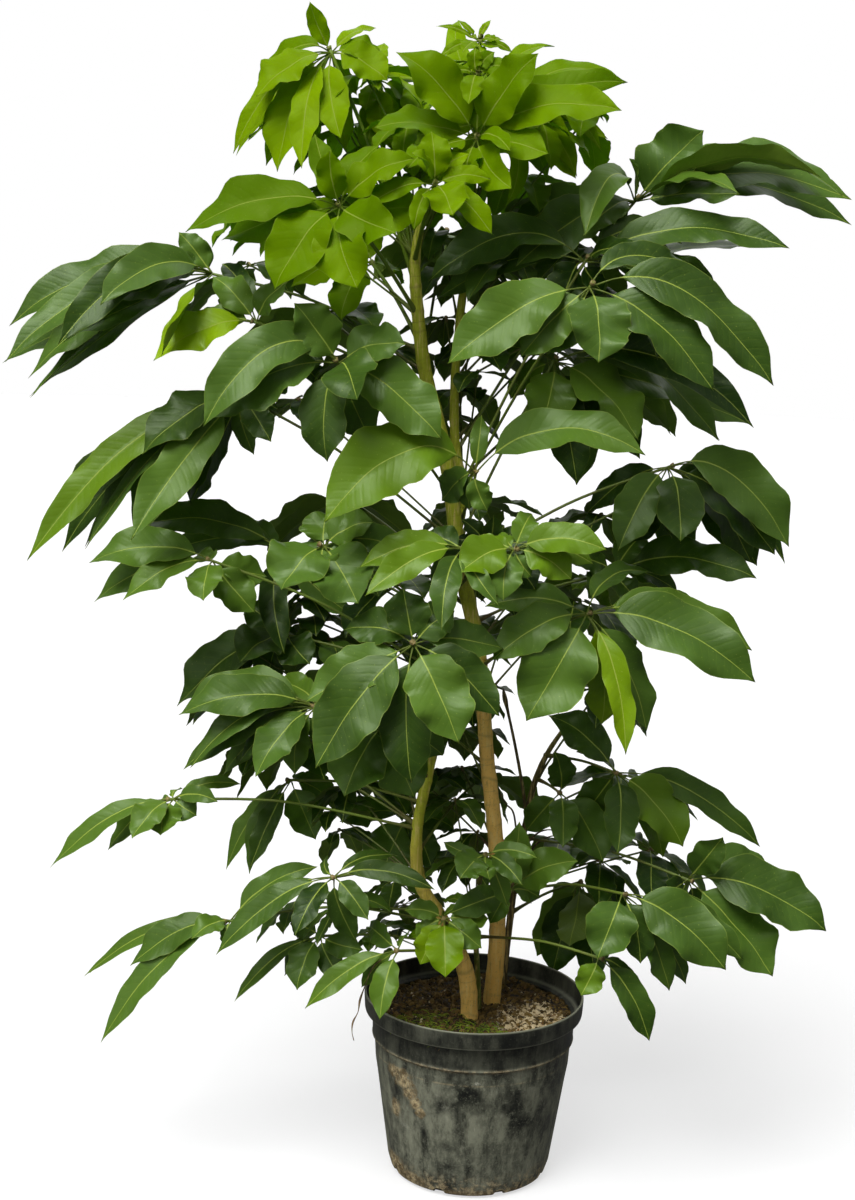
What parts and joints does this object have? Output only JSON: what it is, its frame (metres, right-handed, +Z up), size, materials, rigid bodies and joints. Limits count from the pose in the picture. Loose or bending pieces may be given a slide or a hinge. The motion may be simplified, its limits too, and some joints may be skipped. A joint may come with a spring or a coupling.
{
  "type": "potted umbrella plant",
  "caption": "Tall umbrella plant with glossy hand-shaped leaves on slender stalks and woody stems, growing in a round tapered black nursery pot of soil.",
  "frame": {"origin": "centre of the pot's flat base, on the surface it stands on", "axes": "+Z up along the pot's axis, the plant's longest extent; the pictured front faces -Y, with +X to the right"},
  "size_m": [1.2724, 0.7421, 1.761],
  "materials": {
    "pot": "matt black moulded plastic, scuffed, with dried soil and lime streaks",
    "soil": "dark crumbly bark compost with pale grit and moss",
    "bark": "tan bark with leaf scars, turning yellow-green above",
    "green_stem": "smooth young green shoot",
    "leaf": "glossy leathery dark green leaf with a pale midrib",
    "young_leaf": "satin bright light green young leaf"
  },
  "bodies": {
    "root": {"pot": "pot", "soil": "soil", "stem_front": "bark", "stem_main": "bark", "stem_side": "bark", "shoot": "green_stem", "leaf_top_1": "young_leaf", "leaf_top_2": "young_leaf", "leaf_top_3": "young_leaf", "leaf_top_4": "young_leaf", "leaf_top_5": "young_leaf", "leaf_top_6": "young_leaf", "leaf_top_7": "young_leaf", "leaf_top_8": "young_leaf", "leaf_top_9": "young_leaf", "leaf_right_1": "leaf", "leaf_right_2": "leaf", "leaf_right_3": "leaf", "leaf_right_4": "leaf", "leaf_right_5": "leaf", "leaf_right_6": "leaf", "leaf_right_7": "leaf", "leaf_right_8": "leaf", "leaf_right_9": "leaf", "leaf_right_10": "leaf", "leaf_right_11": "leaf", "leaf_right_12": "leaf", "leaf_right_13": "leaf", "leaf_centre_1": "leaf", "leaf_centre_2": "leaf", "leaf_centre_3": "leaf", "leaf_centre_4": "leaf", "leaf_centre_5": "leaf", "leaf_centre_6": "leaf", "leaf_centre_7": "leaf", "leaf_left_1": "leaf", "leaf_left_2": "leaf", "leaf_left_3": "leaf", "leaf_left_4": "leaf", "leaf_left_5": "leaf", "leaf_left_6": "leaf", "leaf_left_7": "leaf", "leaf_left_8": "leaf", "leaf_left_9": "leaf", "leaf_left_10": "leaf", "leaf_left_11": "leaf", "leaf_left_12": "leaf", "leaf_left_13": "leaf", "leaf_low_1": "leaf", "leaf_low_2": "leaf", "leaf_low_3": "leaf", "leaf_low_4": "leaf", "leaf_low_5": "leaf", "leaf_back_1": "leaf", "leaf_back_2": "leaf", "leaf_back_3": "leaf", "leaf_back_4": "leaf", "leaf_back_5": "leaf", "leaf_back_6": "leaf", "leaf_back_7": "leaf"}
  },
  "joints": []
}
